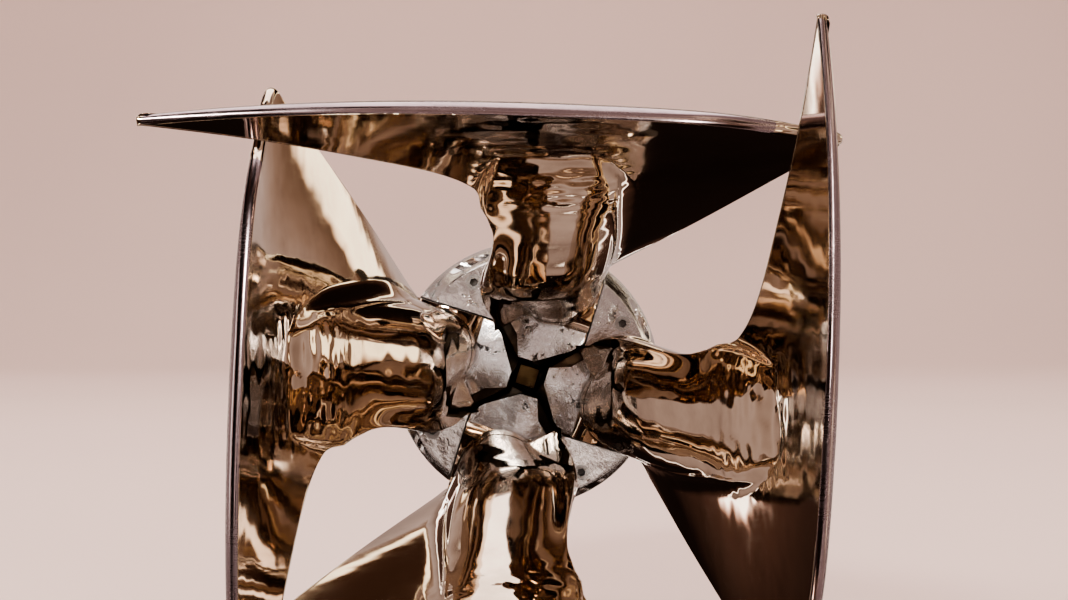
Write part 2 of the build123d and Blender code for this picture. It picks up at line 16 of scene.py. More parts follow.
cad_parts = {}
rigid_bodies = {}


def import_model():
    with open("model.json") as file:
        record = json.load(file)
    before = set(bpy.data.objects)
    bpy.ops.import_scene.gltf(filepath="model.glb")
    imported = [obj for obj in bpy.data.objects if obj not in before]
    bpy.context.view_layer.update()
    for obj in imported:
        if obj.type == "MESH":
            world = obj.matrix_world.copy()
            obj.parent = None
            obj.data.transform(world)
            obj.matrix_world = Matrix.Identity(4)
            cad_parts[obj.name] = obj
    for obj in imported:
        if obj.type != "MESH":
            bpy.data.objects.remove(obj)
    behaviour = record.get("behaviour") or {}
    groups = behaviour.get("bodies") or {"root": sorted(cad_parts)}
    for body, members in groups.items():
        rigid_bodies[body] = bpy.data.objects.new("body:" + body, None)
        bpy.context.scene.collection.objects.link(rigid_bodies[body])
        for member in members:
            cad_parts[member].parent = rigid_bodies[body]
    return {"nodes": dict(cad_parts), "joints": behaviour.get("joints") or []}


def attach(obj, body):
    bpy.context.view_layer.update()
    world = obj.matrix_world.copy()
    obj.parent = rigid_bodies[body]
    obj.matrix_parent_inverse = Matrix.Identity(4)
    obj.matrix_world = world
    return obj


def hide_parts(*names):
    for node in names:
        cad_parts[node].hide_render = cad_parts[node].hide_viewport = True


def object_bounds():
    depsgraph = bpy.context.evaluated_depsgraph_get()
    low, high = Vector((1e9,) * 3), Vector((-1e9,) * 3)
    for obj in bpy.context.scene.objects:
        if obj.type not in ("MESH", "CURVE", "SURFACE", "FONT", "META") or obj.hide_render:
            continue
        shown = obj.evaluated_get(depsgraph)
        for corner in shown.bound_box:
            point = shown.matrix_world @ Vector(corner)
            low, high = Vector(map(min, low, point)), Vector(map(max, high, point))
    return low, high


bl_info = {
    "name": "Folding propeller finish",
    "version": (1, 0, 0),
    "blender": (4, 5, 0),
    "location": "View3D > Sidebar > Propeller",
    "description": "Finishes the pieces of a four-blade folding propeller and lights it",
    "category": "Object",
}

for spare in list(bpy.data.objects):
    bpy.data.objects.remove(spare)
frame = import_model()
CAD_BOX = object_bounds()
NODES = frame["nodes"]
JOINTS = {joint["child"]: joint for joint in frame["joints"]}

MM = 0.001
BLADES = 4
PIN_RADIUS_OUT = Vector((JOINTS["blade_1"]["pos_m"][0], 0, JOINTS["blade_1"]["pos_m"][2])).length / MM
FOLD = -JOINTS["blade_1"]["range_deg"][0]
TIP_RADIUS = 235.0
SPAN = TIP_RADIUS - PIN_RADIUS_OUT

# ---------------------------------------------------------------- the blade's form, millimetres
# Share of the span; how far the plate stands aft of the pin, its thickness and its hollow.
PLATE_STATIONS = (
    (0.05, 0.5, 9.0, 0.0),
    (0.245, -2.3, 7.5, 0.3),
    (0.44, -6.0, 6.0, 1.4),
    (0.625, -9.3, 5.0, 3.0),
    (0.76, -10.3, 4.8, 3.8),
    (0.97, -8.0, 4.2, 3.8),
)
EDGE_THICKNESS = 2.0
TIP_CORNER = 0.25  # small round between the aft face and the cut tip edge
PITCH_AT_ROOT = 280.0
PITCH_AT_TIP = 450.0
MID_CHORD = 25.0
HALF_CHORD = 96.0

# Outline of the plate: shares of the span and distances round the hub.
LEADING_EDGE = ((0.073, -15.0), (0.38, -38.0), (0.70, -56.5))
LEADING_CORNER = ((0.70, -56.5), (0.74, -51.0), (0.772, -39.0))
TIP_EDGE = ((0.772, -39.0), (0.845, -3.0), (0.885, 45.0))
POINT_Y = 107.0
TRAILING_EDGE = ((0.80, 83.0), (0.71, 57.0), (0.62, 35.0), (0.52, 25.0), (0.26, 22.0), (0.073, 14.0))
CORNER_HEADING = (1.0, 1.1)
POINT_HEADING = (-0.2, 1.0)

# Share of the span; middle across and aft of the plate's middle, half width and half depth.
NECK_STATIONS = (
    (0.03, 0.0, 0.0, 13.5, 13.0),
    (0.08, 0.3, 0.5, 14.0, 13.0),
    (0.16, 2.0, 1.0, 17.0, 11.5),
    (0.27, 4.0, 3.5, 19.0, 10.0),
    (0.40, 6.0, 3.5, 19.0, 8.0),
    (0.52, 9.0, 2.0, 18.5, 6.5),
    (0.62, 12.0, 0.5, 17.5, 4.5),
    (0.70, 15.0, 0.0, 13.0, 1.0),
)
NECK_MARGIN = 0.6  # plate left beside the neck where the plate is narrow
NECK_FILLET = 4.5
NECK_BLEND = 1.6
FOOT_BLEND = 5.0  # extra blend where the neck runs out into the plate
FILLET_SHARE = 0.8  # a fillet is never wider than this share of the neck's rise above the plate
END_SINK = 14.0  # how far the neck drops under the plate past its end
SIDE_SINK = 8.0  # and at its sides
NO_NECK = 90.0  # a height that never shows, for places beside the neck
TINY = 0.01
NECK_SQUARENESS = 2.5
OUTLINE_POINTS = 400
# Places on the geared root, in the blade's frame: its bare cut face and its teeth.
CUT_FACE_X = (6.0, 8.0)
CUT_FACE_FROM_Z = 10.0
TEETH_BELOW_X = 6.8
TEETH_FROM_RADIUS = 14.5
SHARP_ANGLE = radians(32)
BEVEL_ANGLE = radians(35)
ROWS_ALONG = 170
ROWS_ACROSS = 140
ROUND_ROWS = 9
DENSE_POINTS = 800
EDGE_ROWS = 2.0  # extra rows at the plate's edges, and the share of the width they take
EDGE_REACH = 0.02
SIDE_ROWS = 5.0  # extra rows at the neck's sides, and how wide they spread
SIDE_REACH = 3.0
SMOOTHING_PASSES = 6
TIP_SQUARENESS = 0.55  # power that makes the cut edge begin quickly at the tip's ends
CUT_START = 0.12  # share of the rows round the edge at which the bevel begins
CORNER_DROP = 0.08
CUT_FROM = 0.15  # squareness from which the edge counts as cut and gets its own finish


# ---------------------------------------------------------------- curves
def spline(points, count, start=None, end=None):
    """Points of a cubic spline through the given ones, with its end headings if they are given."""
    points = np.array(points, float)
    steps = np.linalg.norm(np.diff(points, axis=0), axis=1)
    knots = np.concatenate([[0.0], np.cumsum(steps)])
    slopes = knot_slopes(knots, points, start, end)
    return np.stack([hermite(knots, points[:, i], slopes[:, i], np.linspace(0, knots[-1], count))
                     for i in range(points.shape[1])], axis=1)


def knot_slopes(knots, values, start=None, end=None):
    """Slopes at the knots of a cubic spline, natural at an end without a heading."""
    count = len(knots)
    gaps = np.diff(knots)
    matrix = np.zeros((count, count))
    right = np.zeros(values.shape)
    rises = np.diff(values, axis=0) / (gaps[:, None] if values.ndim > 1 else gaps)
    for i in range(1, count - 1):
        matrix[i, i - 1:i + 2] = gaps[i], 2 * (gaps[i - 1] + gaps[i]), gaps[i - 1]
        right[i] = 3 * (gaps[i] * rises[i - 1] + gaps[i - 1] * rises[i])
    for row, near, rise, heading in ((0, 1, rises[0], start), (count - 1, count - 2, rises[-1], end)):
        if heading is None:
            matrix[row, row], matrix[row, near] = 2, 1
            right[row] = 3 * rise
        else:
            matrix[row, row] = 1
            right[row] = np.array(heading) / np.linalg.norm(heading)
    return np.linalg.solve(matrix, right)


def hermite(knots, values, slopes, where):
    """The spline with these values and slopes at the knots, held level past its ends."""
    where = np.clip(where, knots[0], knots[-1])
    i = np.clip(np.searchsorted(knots, where, side="right") - 1, 0, len(knots) - 2)
    gap = knots[i + 1] - knots[i]
    t = (where - knots[i]) / gap
    return ((2 * t**3 - 3 * t**2 + 1) * values[i] + (t**3 - 2 * t**2 + t) * gap * slopes[i]
            + (3 * t**2 - 2 * t**3) * values[i + 1] + (t**3 - t**2) * gap * slopes[i + 1])


def column(stations, index, span):
    """One column of a station table at distances along the span."""
    knots = np.array([row[0] for row in stations]) * SPAN
    values = np.array([row[index] for row in stations])
    return hermite(knots, values, knot_slopes(knots, values), span)


def arc(a, b, c, count):
    """Points of the circle's arc through three points."""
    (ax, ay), (bx, by), (cx, cy) = a, b, c
    double = 2 * (ax * (by - cy) + bx * (cy - ay) + cx * (ay - by))
    sa, sb, sc = ax**2 + ay**2, bx**2 + by**2, cx**2 + cy**2
    middle = np.array([(sa * (by - cy) + sb * (cy - ay) + sc * (ay - by)) / double,
                       (sa * (cx - bx) + sb * (ax - cx) + sc * (bx - ax)) / double])
    radius = np.linalg.norm(np.array(a) - middle)
    first, last = [np.arctan2(*(np.array(p) - middle)[::-1]) for p in (a, c)]
    turns = np.linspace(first, last, count)
    return middle + radius * np.stack([np.cos(turns), np.sin(turns)], axis=1)


def even(points, count):
    """The same line with its points evenly spaced."""
    gone = np.concatenate([[0.0], np.cumsum(np.linalg.norm(np.diff(points, axis=0), axis=1))])
    where = np.linspace(0, gone[-1], count)
    return np.stack([np.interp(where, gone, points[:, i]) for i in range(points.shape[1])], axis=1)


def smoothstep(low, high, value):
    """Rises smoothly from 0 to 1 between low and high."""
    t = np.clip((value - low) / (high - low), 0, 1)
    return t * t * (3 - 2 * t)


def smooth_max(a, b, reach):
    """The higher of two heights, blended where they are closer than reach."""
    near = np.maximum(reach - np.abs(a - b), 0) / reach
    return np.maximum(a, b) + near**2 * reach / 4


# Direction, stretch and phase of each wave in a ripple.
RIPPLE_WAVES = ((0.3, 1.0, 0.0), (1.45, 1.13, 1.7), (2.35, 0.87, 4.1), (2.95, 1.31, 2.6))


def ripple(x, y, wavelength):
    """A gentle uneven wave between -1 and 1 over a surface."""
    total = 0.0
    for turn, stretch, phase in RIPPLE_WAVES:
        along = (x * cos(turn) + y * sin(turn)) * stretch
        total = total + np.sin(2 * pi * along / wavelength + phase)
    return total / len(RIPPLE_WAVES)


# ---------------------------------------------------------------- the blade's surfaces
def pitch_slope(span):
    """Rise of the plate per millimetre round the hub."""
    pitch = PITCH_AT_ROOT + (PITCH_AT_TIP - PITCH_AT_ROOT) * span / SPAN
    return pitch / (2 * pi * (PIN_RADIUS_OUT + span))


def plate(span, y):
    """Middle height and half thickness of the plate."""
    rake, thickness, hollow = [column(PLATE_STATIONS, i, span) for i in (1, 2, 3)]
    inboard = 1 - ((y - MID_CHORD) / HALF_CHORD) ** 2
    slope = pitch_slope(span)
    half = (EDGE_THICKNESS + (thickness - EDGE_THICKNESS) * inboard) / 2 * np.sqrt(1 + slope**2)
    return rake + y * slope - hollow * inboard, half


def neck(span, y):
    """Middle height and half depth of the neck, and how far y is outside its side."""
    across, proud, wide, deep = [column(NECK_STATIONS, i, span) for i in (1, 2, 3, 4)]
    base = plate(span, across)[0] * smoothstep(0.08, 0.12, span / SPAN)
    twist = np.arctan(pitch_slope(span)) * np.minimum(1, 4 * span / SPAN)
    level = np.sin(twist) ** 2 / wide**2 + np.cos(twist) ** 2 / deep**2
    lean = np.sin(twist) * np.cos(twist) * (1 / wide**2 - 1 / deep**2)
    reach = np.sqrt(level) * wide * deep
    offset = y - across
    share = np.minimum(np.abs(offset) / reach, 1)
    power = 2 + (NECK_SQUARENESS - 2) * smoothstep(0.08, 0.2, span / SPAN)
    half = (1 - share**power) ** (1 / power) / np.sqrt(level)
    return base + proud - lean / level * offset, half, np.abs(offset) - reach


def blade_faces(span, y, settings):
    """Heights of the forward and aft faces of the plate and its neck together."""
    middle, half = plate(span, y)
    neck_middle, neck_half, outside = neck(span, y)
    proud, deep = [column(NECK_STATIONS, i, span) for i in (2, 4)]
    fillets = []
    for rise in (deep + proud - half, deep - proud - half):
        radius = np.clip(rise * FILLET_SHARE, 0, NECK_FILLET)
        radius = radius * smoothstep(0.10, 0.3, span / SPAN) + TINY
        gap = np.clip(outside, 0, radius)
        fillets.append(radius - np.sqrt(np.maximum(radius**2 - (radius - gap) ** 2, 0)))
    blend = NECK_BLEND + FOOT_BLEND * smoothstep(0.5, 0.66, span / SPAN)
    inside = outside < 0
    sink = END_SINK * smoothstep(0.66, 0.76, span / SPAN) + SIDE_SINK * smoothstep(-1.5, 0.5, outside)
    aft_neck = np.where(inside, neck_middle + neck_half - sink, -NO_NECK)
    fore_neck = np.where(inside, neck_middle - neck_half + sink, NO_NECK)
    aft = smooth_max(aft_neck, middle + half + fillets[0], blend)
    fore = -smooth_max(-fore_neck, -(middle - half - fillets[1]), blend)
    on_neck = smoothstep(6.0, -2.0, outside) * smoothstep(0.08, 0.14, span / SPAN)
    foot = smoothstep(0.50, 0.58, span / SPAN) * smoothstep(0.76, 0.70, span / SPAN)
    wave = 0.0
    for height, wavelength, share in (
        (settings.neck_wave, settings.neck_wavelength, on_neck * (1 - foot)),
        (settings.foot_wave, settings.foot_wavelength, on_neck * foot),
        (settings.plate_wave, settings.plate_wavelength, 1.0),
    ):
        wave = wave + height / MM * share * ripple(span, y, wavelength / MM)
    return fore - wave, aft + wave


def outline_sides():
    """The plate's outline as four lines: leading side, tip edge, trailing side and root."""
    point = (np.sqrt(TIP_RADIUS**2 - POINT_Y**2) - PIN_RADIUS_OUT, POINT_Y)
    scale = np.array([SPAN, 1.0])
    leading = arc(*(np.array(LEADING_EDGE) * scale), 200)
    heading = leading[-1] - leading[-2]
    corner = spline(np.array(LEADING_CORNER) * scale, 60, heading, CORNER_HEADING)
    leading = even(np.concatenate([leading, corner[1:]]), OUTLINE_POINTS)
    tip = spline([*(np.array(TIP_EDGE) * scale), point], OUTLINE_POINTS, CORNER_HEADING, POINT_HEADING)
    trailing = spline([*(np.array(TRAILING_EDGE[::-1]) * scale), point], OUTLINE_POINTS)
    for side, sign in ((leading, -1), (trailing, 1)):
        across = column(NECK_STATIONS, 1, side[:, 0])
        wide = column(NECK_STATIONS, 3, side[:, 0]) + NECK_MARGIN
        wide *= smoothstep(0.45, 0.25, side[:, 0] / SPAN)
        side[:, 1] = sign * np.maximum(sign * side[:, 1], sign * across + wide)
    root = np.linspace(leading[0], trailing[0], 200)
    return *(even(side, OUTLINE_POINTS) for side in (leading, tip, trailing)), root


def loop_normals(points):
    """Outward directions along a closed line that runs anticlockwise."""
    ahead = np.roll(points, -1, axis=0) - points
    ahead /= np.maximum(np.linalg.norm(ahead, axis=1), 1e-9)[:, None]
    out = np.stack([ahead[:, 1], -ahead[:, 0]], axis=1)
    out = out + np.roll(out, 1, axis=0)
    return out / np.linalg.norm(out, axis=1)[:, None]


def patch(sides, along, across):
    """Points of the patch between four sides: leading, tip, trailing and root."""
    leading, tip, trailing, root = sides
    share = np.linspace(0, 1, len(leading))
    shares = [np.linspace(0, 1, len(side)) for side in sides]
    u = np.repeat(along[:, None], across.shape[1], axis=1)
    grid = []
    for i in (0, 1):
        lead, trail = [np.interp(u, share, side[:, i]) for side in (leading, trailing)]
        outer, inner = [np.interp(across, s, side[:, i])
                        for s, side in ((shares[1], tip), (shares[3], root))]
        corners = ((1 - u) * ((1 - across) * leading[0, i] + across * trailing[0, i])
                   + u * ((1 - across) * leading[-1, i] + across * trailing[-1, i]))
        grid.append((1 - across) * lead + across * trail + (1 - u) * inner + u * outer - corners)
    return grid[0], grid[1]


def rows_across(leading, trailing, along):
    """Shares of the width for each row along the blade, closer together at the neck's sides."""
    share = np.linspace(0, 1, len(leading))
    dense = np.linspace(0, 1, DENSE_POINTS)
    rows = []
    for u in along:
        lead, trail = [np.array([np.interp(u, share, side[:, i]) for i in (0, 1)])
                       for side in (leading, trailing)]
        span = (lead[0] + trail[0]) / 2
        middle, wide = [float(column(NECK_STATIONS, i, np.array([span]))[0]) for i in (1, 3)]
        width = trail[1] - lead[1]
        density = 1 + EDGE_ROWS * (np.exp(-dense / EDGE_REACH) + np.exp(-(1 - dense) / EDGE_REACH))
        fade = float(smoothstep(0.78, 0.68, span / SPAN))
        for side in (middle - wide, middle + wide):
            place = (side - lead[1]) / width
            density = density + SIDE_ROWS * fade * np.exp(-((dense - place) * width / SIDE_REACH) ** 2)
        total = np.concatenate([[0.0], np.cumsum((density[1:] + density[:-1]) / 2)])
        rows.append(np.interp(np.linspace(0, 1, ROWS_ACROSS), total / total[-1], dense))
    rows = np.array(rows)
    for _ in range(SMOOTHING_PASSES):
        rows[1:-1] = (rows[:-2] + rows[1:-1] + rows[2:]) / 3
    return rows


def edge_ring(grid):
    """A grid's border, in the order leading, tip, trailing and root."""
    return np.concatenate([grid[:-1, 0], grid[-1, :-1], grid[:0:-1, -1], grid[0, :0:-1]])


def blade_mesh(settings):
    """The plate and neck of a blade as one closed mesh, in metres, in the blade's frame."""
    sides = outline_sides()
    leading, tip, trailing, root = sides
    loop = np.concatenate([leading[:-1], tip[:-1], trailing[:0:-1], root[:0:-1]])
    out = loop_normals(loop)
    # how far the faces stop short of the outline, and how much an edge is cut square on the aft side
    place = np.arange(len(loop))
    ends = np.cumsum([len(leading) - 1, len(tip) - 1, len(trailing) - 1])
    from_root = np.minimum(place, np.maximum(ends[2] - place, 0)) / (len(leading) - 1)
    edge = settings.edge_radius / MM * smoothstep(0.0, 0.08, from_root)
    on_tip = np.clip((place - ends[0]) / (ends[1] - ends[0]), 0, 1)
    square = np.sin(pi * on_tip) ** TIP_SQUARENESS
    aft_inset = edge * (1 - square) + TIP_CORNER * square
    fore_inset = edge * (1 - square) + settings.tip_bevel / MM * square
    faces = []
    for inset in (aft_inset, fore_inset):
        line = loop - out * inset[:, None]
        faces.append([line[:ends[0] + 1], line[ends[0]:ends[1] + 1], line[ends[1]:ends[2] + 1][::-1],
                      np.concatenate([line[ends[2]:], line[:1]])[::-1]])
    along = np.linspace(0, 1, ROWS_ALONG)
    across = rows_across(leading, trailing, along)
    aft_x, aft_y = patch(faces[0], along, across)
    fore_x, fore_y = patch(faces[1], along, across)
    rim_x, rim_y = patch(sides, along, across)
    aft = np.stack([aft_x, aft_y, blade_faces(aft_x, aft_y, settings)[1]], axis=-1)
    fore = np.stack([fore_x, fore_y, blade_faces(fore_x, fore_y, settings)[0]], axis=-1)
    ring_aft, ring_fore = edge_ring(aft), edge_ring(fore)
    ring_rim = edge_ring(np.stack([rim_x, rim_y], axis=-1))
    # the same share of squareness for the ring's own points
    spots = np.array([np.argmin(((loop - p) ** 2).sum(1)) for p in ring_rim])
    weight = square[spots][:, None]
    rows = []
    for step in range(1, ROUND_ROWS):
        turn = pi * step / ROUND_ROWS
        back, rise = 1 - sin(turn), 0.5 + 0.5 * cos(turn)
        first, last = ring_aft[:, :2], ring_fore[:, :2]
        near = first if turn < pi / 2 else last
        rounded = ring_rim + (near - ring_rim) * back
        bow = step / ROUND_ROWS
        corner = min(1.0, bow * 4)
        sweep = max(0.0, (bow - CUT_START) / (1 - CUT_START)) * pi / 2
        cut = ring_rim + (first - ring_rim) * (1 - corner) + (last - ring_rim) * (1 - cos(sweep))
        flat = (1 - weight) * rounded + weight * cut
        height = (1 - weight[:, 0]) * rise
        height = height + weight[:, 0] * (1 - sin(sweep)) * (1 - CORNER_DROP * corner)
        level = ring_fore[:, 2] + (ring_aft[:, 2] - ring_fore[:, 2]) * height
        rows.append(np.concatenate([flat, level[:, None]], axis=1))
    return closed_mesh("blade_form", aft, fore, rows, weight[:, 0] > CUT_FROM)


def closed_mesh(name, aft, fore, rows, cut):
    """Two grids with the same layout, joined round their borders through the rows between them.

    Where cut is true the border gets the second material.
    """
    along, across = aft.shape[:2]
    size = along * across
    index = np.arange(size).reshape(along, across)
    ring = edge_ring(index[..., None])[:, 0]
    points = np.concatenate([aft.reshape(-1, 3), fore.reshape(-1, 3), *rows])
    a, b = index[:-1, :-1].ravel(), index[1:, :-1].ravel()
    c, d = index[1:, 1:].ravel(), index[:-1, 1:].ravel()
    quads = [np.stack([a, b, c, d], axis=1), size + np.stack([d, c, b, a], axis=1)]
    count = len(ring)
    between = [2 * size + count * k + np.arange(count) for k in range(len(rows))]
    rings = [ring, *between, size + ring]
    for upper, lower in zip(rings, rings[1:]):
        quads.append(np.stack([upper, lower, np.roll(lower, -1), np.roll(upper, -1)], axis=1))
    mesh = bpy.data.meshes.new(name)
    mesh.from_pydata((points * MM).tolist(), [], np.concatenate(quads).tolist())
    mesh.shade_smooth()
    first = 2 * (along - 1) * (across - 1)
    second = np.zeros(len(mesh.polygons), dtype=np.int32)
    second[first:] = np.tile(cut.astype(np.int32), len(rings) - 1)
    mesh.polygons.foreach_set("material_index", second)
    return mesh


def blade_matrix(body):
    """Where a folded blade's own frame stands in the row."""
    pin = Vector(JOINTS[body]["pos_m"])
    outward = Vector((pin.x, 0, pin.z)).normalized()
    aft = Vector((0, -1, 0))
    fold = radians(FOLD)
    span = outward * cos(fold) + aft * sin(fold)
    face = aft * cos(fold) - outward * sin(fold)
    matrix = Matrix.Identity(4)
    for i, axis in enumerate((span, face.cross(span), face)):
        matrix.col[i][:3] = axis
    matrix.translation = pin
    return matrix


def root_mesh(settings):
    """The geared root of a blade, taken from its CAD node and cut where the neck begins."""
    mesh = NODES["blade_1"].data.copy()
    mesh.name = "blade_root"
    mesh.transform(blade_matrix("blade_1").inverted())
    mesh.materials.clear()
    shape = bmesh.new()
    shape.from_mesh(mesh)
    shape.normal_update()
    bmesh.ops.remove_doubles(shape, verts=shape.verts, dist=settings.weld)
    start = LEADING_EDGE[0][0] * SPAN * MM
    bmesh.ops.bisect_plane(shape, geom=shape.verts[:] + shape.edges[:] + shape.faces[:],
                           plane_co=(start, 0, 0), plane_no=(1, 0, 0), clear_outer=True)
    for face in shape.faces:
        middle = face.calc_center_median()
        face.smooth = True
        x, z = middle.x / MM, middle.z / MM
        cut_face = face.normal.x > 0.98 and CUT_FACE_X[0] < x < CUT_FACE_X[1] and z > CUT_FACE_FROM_Z
        toothed = x < TEETH_BELOW_X and middle.length / MM > TEETH_FROM_RADIUS
        face.material_index = 1 if cut_face else 2 if toothed else 0
    shape.to_mesh(mesh)
    shape.free()
    mesh.set_sharp_from_angle(angle=SHARP_ANGLE)
    return mesh


# ---------------------------------------------------------------- shader helpers
def add_node(tree, kind, settings=None, **inputs):
    """A shader node with its settings, and its sockets set or linked by name."""
    made = tree.nodes.new(kind)
    for name, value in (settings or {}).items():
        setattr(made, name, value)
    for name, value in inputs.items():
        socket = made.inputs[int(name[1:])] if name[0] == "_" else made.inputs[name.replace("_", " ")]
        if isinstance(value, bpy.types.NodeSocket):
            tree.links.new(value, socket)
        else:
            socket.default_value = value
    return made


def math(tree, operation, a, b=0.0, clamp=False):
    """The result of one sum on two values."""
    settings = {"operation": operation, "use_clamp": clamp}
    return add_node(tree, "ShaderNodeMath", settings, _0=a, _1=b).outputs[0]


def spread(tree, value, low, high, to_low=0.0, to_high=1.0):
    """A value's range from low to high turned smoothly into another range."""
    settings = {"interpolation_type": "SMOOTHSTEP"}
    return add_node(tree, "ShaderNodeMapRange", settings, _0=value, _1=low, _2=high, _3=to_low,
                    _4=to_high).outputs[0]


def mix(tree, factor, a, b):
    """One colour turned into another by a factor."""
    made = add_node(tree, "ShaderNodeMix", {"data_type": "RGBA"})
    for socket, value in ((0, factor), (6, a), (7, b)):
        if isinstance(value, bpy.types.NodeSocket):
            tree.links.new(value, made.inputs[socket])
        else:
            made.inputs[socket].default_value = value
    return made.outputs[2]


def object_point(tree):
    return tree.nodes.new("ShaderNodeTexCoord").outputs["Object"]


def noise(tree, point, scale, detail=3.0, roughness=0.55):
    return add_node(tree, "ShaderNodeTexNoise", Vector=point, Scale=scale, Detail=detail,
                    Roughness=roughness).outputs[0]


def shader_group(name, inputs, outputs, build):
    """A node group with named sockets, built once; build puts its nodes in and returns its outputs."""
    group = bpy.data.node_groups.new(name, "ShaderNodeTree")
    for label, kind, value in inputs:
        socket = group.interface.new_socket(name=label, in_out="INPUT", socket_type=kind)
        if value is not None:
            socket.default_value = value
    for label, kind in outputs:
        group.interface.new_socket(name=label, in_out="OUTPUT", socket_type=kind)
    given = group.nodes.new("NodeGroupInput")
    result = group.nodes.new("NodeGroupOutput")
    for label, socket in build(group, given.outputs).items():
        group.links.new(socket, result.inputs[label])
    return group


def build_polish_marks(tree, given):
    """Fine scratches in two directions, and the haze that they leave."""
    heights = []
    for turn, stretch in ((0.35, (1.0, 1.0, 22.0)), (1.9, (1.0, 18.0, 1.0))):
        point = add_node(tree, "ShaderNodeMapping", Vector=given["Point"],
                         Rotation=(turn, turn * 0.7, 0.4), Scale=stretch).outputs[0]
        heights.append(noise(tree, point, given["Scale"], 2.0))
    marks = math(tree, "MULTIPLY", math(tree, "ADD", heights[0], heights[1]), 0.5)
    cloud = noise(tree, given["Point"], math(tree, "MULTIPLY", given["Scale"], 0.22), 4.0)
    haze = math(tree, "MULTIPLY", cloud, math(tree, "ADD", marks, 0.5))
    return {"Height": marks, "Haze": spread(tree, haze, 0.3, 0.75)}


def build_machined_grain(tree, given):
    """Tool marks with torn spots and small pits."""
    point = add_node(tree, "ShaderNodeMapping", Vector=given["Point"], Rotation=(0.3, 0.2, 0.8),
                     Scale=(1.0, 5.0, 1.0)).outputs[0]
    lines = noise(tree, point, given["Scale"], 4.0, 0.65)
    spots = noise(tree, given["Point"], math(tree, "MULTIPLY", given["Scale"], 0.6), 5.0, 0.7)
    pits = spread(tree, math(tree, "ADD", spots, math(tree, "MULTIPLY", lines, 0.25)), 0.70, 0.78)
    height = math(tree, "SUBTRACT", lines, math(tree, "MULTIPLY", pits, 1.4))
    return {"Height": height, "Pits": pits}


def build_cast_grain(tree, given):
    """The pebbled skin of a casting or a moulding."""
    fine = noise(tree, given["Point"], given["Scale"], 4.0, 0.6)
    coarse = noise(tree, given["Point"], math(tree, "MULTIPLY", given["Scale"], 0.12), 3.0)
    return {"Height": math(tree, "ADD", fine, math(tree, "MULTIPLY", coarse, 2.0)),
            "Mottle": spread(tree, coarse, 0.35, 0.65)}


def build_recess_shade(tree, given):
    """Where a surface lies in a corner or a gap, where shade falls: the mask for painted shade, from
    ambient occlusion.
    """
    hollow = add_node(tree, "ShaderNodeAmbientOcclusion", {"samples": 6},
                      Distance=given["Reach"]).outputs["AO"]
    speck = noise(tree, given["Point"], 420.0, 3.0)
    shade = math(tree, "ADD", math(tree, "SUBTRACT", 1.0, hollow), math(tree, "MULTIPLY", speck, 0.16))
    return {"Shade": spread(tree, shade, 0.34, 0.80)}


def build_edge_wear(tree, given):
    """Bright lines on outside edges."""
    sharp = tree.nodes.new("ShaderNodeNewGeometry").outputs["Pointiness"]
    speck = noise(tree, given["Point"], 260.0, 4.0)
    uneven = math(tree, "ADD", sharp, math(tree, "MULTIPLY", speck, 0.06))
    return {"Wear": spread(tree, uneven, 0.545, 0.60)}


POINT_AND_SCALE = (("Point", "NodeSocketVector", None), ("Scale", "NodeSocketFloat", 100.0))
GROUPS = (
    ("polish_marks", POINT_AND_SCALE, (("Height", "NodeSocketFloat"), ("Haze", "NodeSocketFloat")),
     build_polish_marks),
    ("machined_grain", POINT_AND_SCALE, (("Height", "NodeSocketFloat"), ("Pits", "NodeSocketFloat")),
     build_machined_grain),
    ("cast_grain", POINT_AND_SCALE, (("Height", "NodeSocketFloat"), ("Mottle", "NodeSocketFloat")),
     build_cast_grain),
    # mask for painted shade in corners and gaps, from ambient occlusion
    ("recess_shade", (("Point", "NodeSocketVector", None), ("Reach", "NodeSocketFloat", 0.003)),
     (("Shade", "NodeSocketFloat"),), build_recess_shade),
    ("edge_wear", (("Point", "NodeSocketVector", None),), (("Wear", "NodeSocketFloat"),),
     build_edge_wear),
)


def group_node(tree, name, **inputs):
    """A shared effect placed in a material; the group is made the first time it is asked for."""
    group = bpy.data.node_groups.get(name)
    if group is None:
        group = shader_group(*next(row for row in GROUPS if row[0] == name))
    made = tree.nodes.new("ShaderNodeGroup")
    made.node_tree = group
    for label, value in inputs.items():
        if isinstance(value, bpy.types.NodeSocket):
            tree.links.new(value, made.inputs[label])
        else:
            made.inputs[label].default_value = value
    return made.outputs


def surface(name, colour, dark, metallic, roughness, spread_to, effect, scale, depth, coat=0.0,
            shade_reach=0.003, wear=0.25):
    """A material from one of the grain effects, with painted shade in its corners and wear on its
    edges.
    """
    material = bpy.data.materials.new("finish_" + name)
    material.use_nodes = True
    tree = material.node_tree
    shader = tree.nodes["Principled BSDF"]
    point = object_point(tree)
    grain = group_node(tree, effect, Point=point, Scale=scale)
    second = grain[1]
    corners = group_node(tree, "recess_shade", Point=point, Reach=shade_reach)["Shade"]
    edges = group_node(tree, "edge_wear", Point=point)["Wear"]
    tone = mix(tree, second, (*colour, 1), (*dark, 1))
    pale = tuple(min(1.0, c * 1.35 + 0.02) for c in colour)
    tone = mix(tree, math(tree, "MULTIPLY", edges, wear), tone, (*pale, 1))
    # painted shade: the colour turns near black where the occlusion mask finds a corner or a gap
    painted_shade = tuple(c * 0.10 for c in dark)
    tone = mix(tree, math(tree, "MULTIPLY", corners, 0.9), tone, (*painted_shade, 1))
    tree.links.new(tone, shader.inputs["Base Color"])
    rough = spread(tree, second, 0.0, 1.0, roughness, spread_to)
    rough = math(tree, "ADD", rough, math(tree, "MULTIPLY", corners, 0.3), clamp=True)
    tree.links.new(rough, shader.inputs["Roughness"])
    shader.inputs["Metallic"].default_value = metallic
    shader.inputs["Coat Weight"].default_value = coat
    raised = add_node(tree, "ShaderNodeBump", Height=grain["Height"], Strength=1.0, Distance=depth)
    tree.links.new(raised.outputs[0], shader.inputs["Normal"])
    return material


